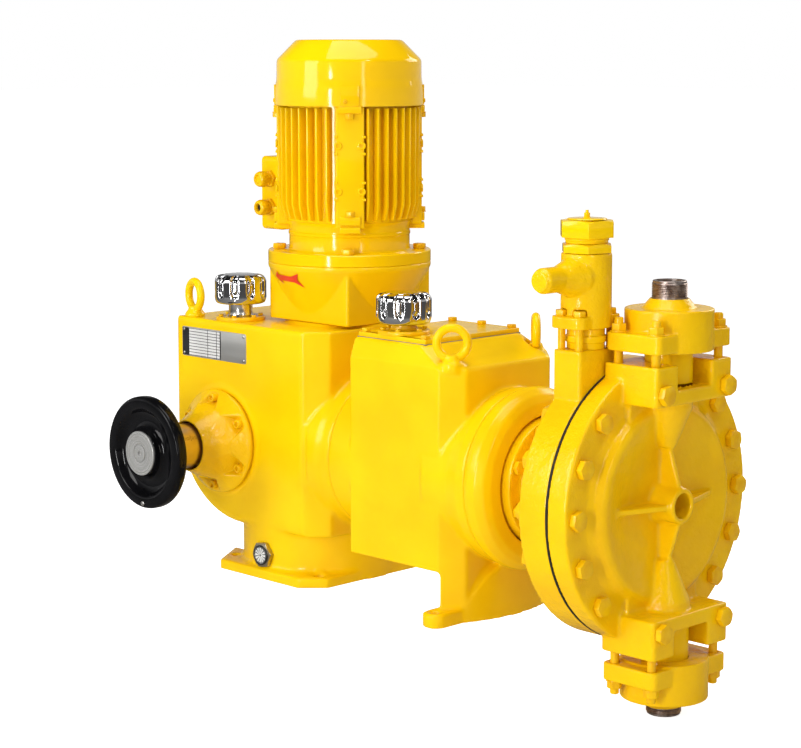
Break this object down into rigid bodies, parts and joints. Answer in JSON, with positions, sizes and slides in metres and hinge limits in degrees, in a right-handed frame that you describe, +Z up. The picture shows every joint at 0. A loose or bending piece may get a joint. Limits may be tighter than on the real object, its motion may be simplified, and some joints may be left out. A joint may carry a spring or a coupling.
{
  "type": "diaphragm metering pump",
  "caption": "Hydraulic diaphragm metering pump: a vertical motor and worm drive stroke a plunger that works a diaphragm head, with handwheel stroke adjustment and ball valves.",
  "frame": {"origin": "centre of the gearbox foot's bolt square, on the mounting plane", "axes": "+Z up, +X towards the liquid end, -Y towards the handwheel"},
  "size_m": [0.948, 0.466, 0.904],
  "materials": {
    "yellow_enamel": "gloss enamel on castings",
    "bright_steel": "zinc-bright machined steel",
    "bearing_steel": "ground steel",
    "polished_steel": "polished chrome",
    "cast_iron": "bare casting",
    "bronze": "machined bronze",
    "black_plastic": "glossy moulded plastic",
    "moulded_plastic": "satin moulded plastic",
    "elastomer": "moulded elastomer",
    "laminations": "stacked sheet with varnished windings",
    "ptfe": "smooth white fluoroplastic",
    "sight_glass": "clear glass in a steel frame"
  },
  "bodies": {
    "pump_body": {"gearbox_housing": "yellow_enamel", "crank_cover": "yellow_enamel", "crank_cover_screws": "yellow_enamel", "bearing_cover": "yellow_enamel", "m8_hex_bolts": "yellow_enamel", "rolling_bearings": "bearing_steel", "worm_bearing_carrier": "cast_iron", "lantern": "yellow_enamel", "motor_housing": "yellow_enamel", "motor_end_shield": "yellow_enamel", "m12_hex_bolts": "yellow_enamel", "motor_fan_cover": "yellow_enamel", "stator": "laminations", "terminal_box": "yellow_enamel", "terminal_box_lid": "yellow_enamel", "cable_glands": "yellow_enamel", "breather_necks": "bright_steel", "lifting_eyebolts": "yellow_enamel", "oil_sight_glass": "sight_glass", "hydraulic_housing": "yellow_enamel", "reservoir_lid": "yellow_enamel", "crosshead_guide": "cast_iron", "packing_rings": "ptfe", "cylinder_liner": "bright_steel", "adapter_ring": "yellow_enamel", "displacement_chamber": "yellow_enamel", "support_plate": "bright_steel", "diaphragm": "ptfe", "pump_head": "yellow_enamel", "head_bolts": "yellow_enamel", "valve_clamps": "yellow_enamel", "valve_housings": "yellow_enamel", "pipe_nipples": "bright_steel", "clamp_studs": "yellow_enamel", "valve_inserts": "bright_steel", "relief_base": "yellow_enamel", "relief_body": "yellow_enamel", "relief_cap": "yellow_enamel"},
    "rotor": {"rotor_shaft": "bearing_steel", "cooling_fan": "moulded_plastic", "coupling_hubs": "cast_iron", "coupling_star": "elastomer", "worm_shaft": "bearing_steel"},
    "crank": {"worm_wheel": "bronze", "crankshaft": "bearing_steel", "eccentric": "bearing_steel"},
    "plunger_set": {"plunger": "bearing_steel", "crosshead": "cast_iron", "wrist_pin": "bearing_steel", "conrod": "cast_iron"},
    "spindle": {"adjusting_spindle": "bright_steel", "scale_sleeve": "polished_steel"},
    "handwheel": {"handwheel": "black_plastic", "handwheel_hub_disc": "bright_steel"},
    "gearbox_cap": {"gearbox_filler_cap": "polished_steel"},
    "reservoir_cap": {"reservoir_filler_cap": "polished_steel"},
    "discharge_valve_ball": {"discharge_ball": "bearing_steel"},
    "suction_valve_ball": {"suction_ball": "bearing_steel"},
    "relief_valve_poppet": {"relief_poppet": "bright_steel", "relief_spring": "bearing_steel"}
  },
  "joints": [
    {"name": "motor_shaft", "type": "hinge", "parent": "pump_body", "child": "rotor", "pos_m": [0.03, 0.03, 0.6], "axis": [0, 0, 1], "continuous": true},
    {"name": "crank_rotation", "type": "hinge", "parent": "pump_body", "child": "crank", "pos_m": [-0.094, 0, 0.201], "axis": [0, 1, 0], "continuous": true},
    {"name": "plunger_stroke", "type": "slide", "parent": "pump_body", "child": "plunger_set", "axis": [1, 0, 0], "range_m": [-0.015, 0.015]},
    {"name": "stroke_spindle", "type": "slide", "parent": "pump_body", "child": "spindle", "axis": [0, 1, 0], "range_m": [0, 0.04]},
    {"name": "handwheel_turn", "type": "hinge", "parent": "spindle", "child": "handwheel", "pos_m": [-0.094, -0.27, 0.201], "axis": [0, 1, 0], "range_deg": [0, 2880]},
    {"name": "gearbox_cap_turn", "type": "hinge", "parent": "pump_body", "child": "gearbox_cap", "pos_m": [-0.096, -0.083, 0.43], "axis": [0, 0, 1], "range_deg": [0, 60]},
    {"name": "reservoir_cap_turn", "type": "hinge", "parent": "pump_body", "child": "reservoir_cap", "pos_m": [0.254, -0.075, 0.44], "axis": [0, 0, 1], "range_deg": [0, 60]},
    {"name": "discharge_ball_lift", "type": "slide", "parent": "pump_body", "child": "discharge_valve_ball", "axis": [0, 0, 1], "range_m": [0, 0.008]},
    {"name": "suction_ball_lift", "type": "slide", "parent": "pump_body", "child": "suction_valve_ball", "axis": [0, 0, 1], "range_m": [0, 0.008]},
    {"name": "relief_lift", "type": "slide", "parent": "pump_body", "child": "relief_valve_poppet", "axis": [0, 0, 1], "range_m": [0, 0.004], "stiffness_N_per_m": 20000, "springref_m": -0.01, "deforming": ["relief_spring"]}
  ],
  "couplings": [
    {"joint": "crank_rotation", "follows": "motor_shaft", "ratio": 0.052632},
    {"joint": "stroke_spindle", "follows": "handwheel_turn", "m_per_rad": 0.00079577}
  ]
}
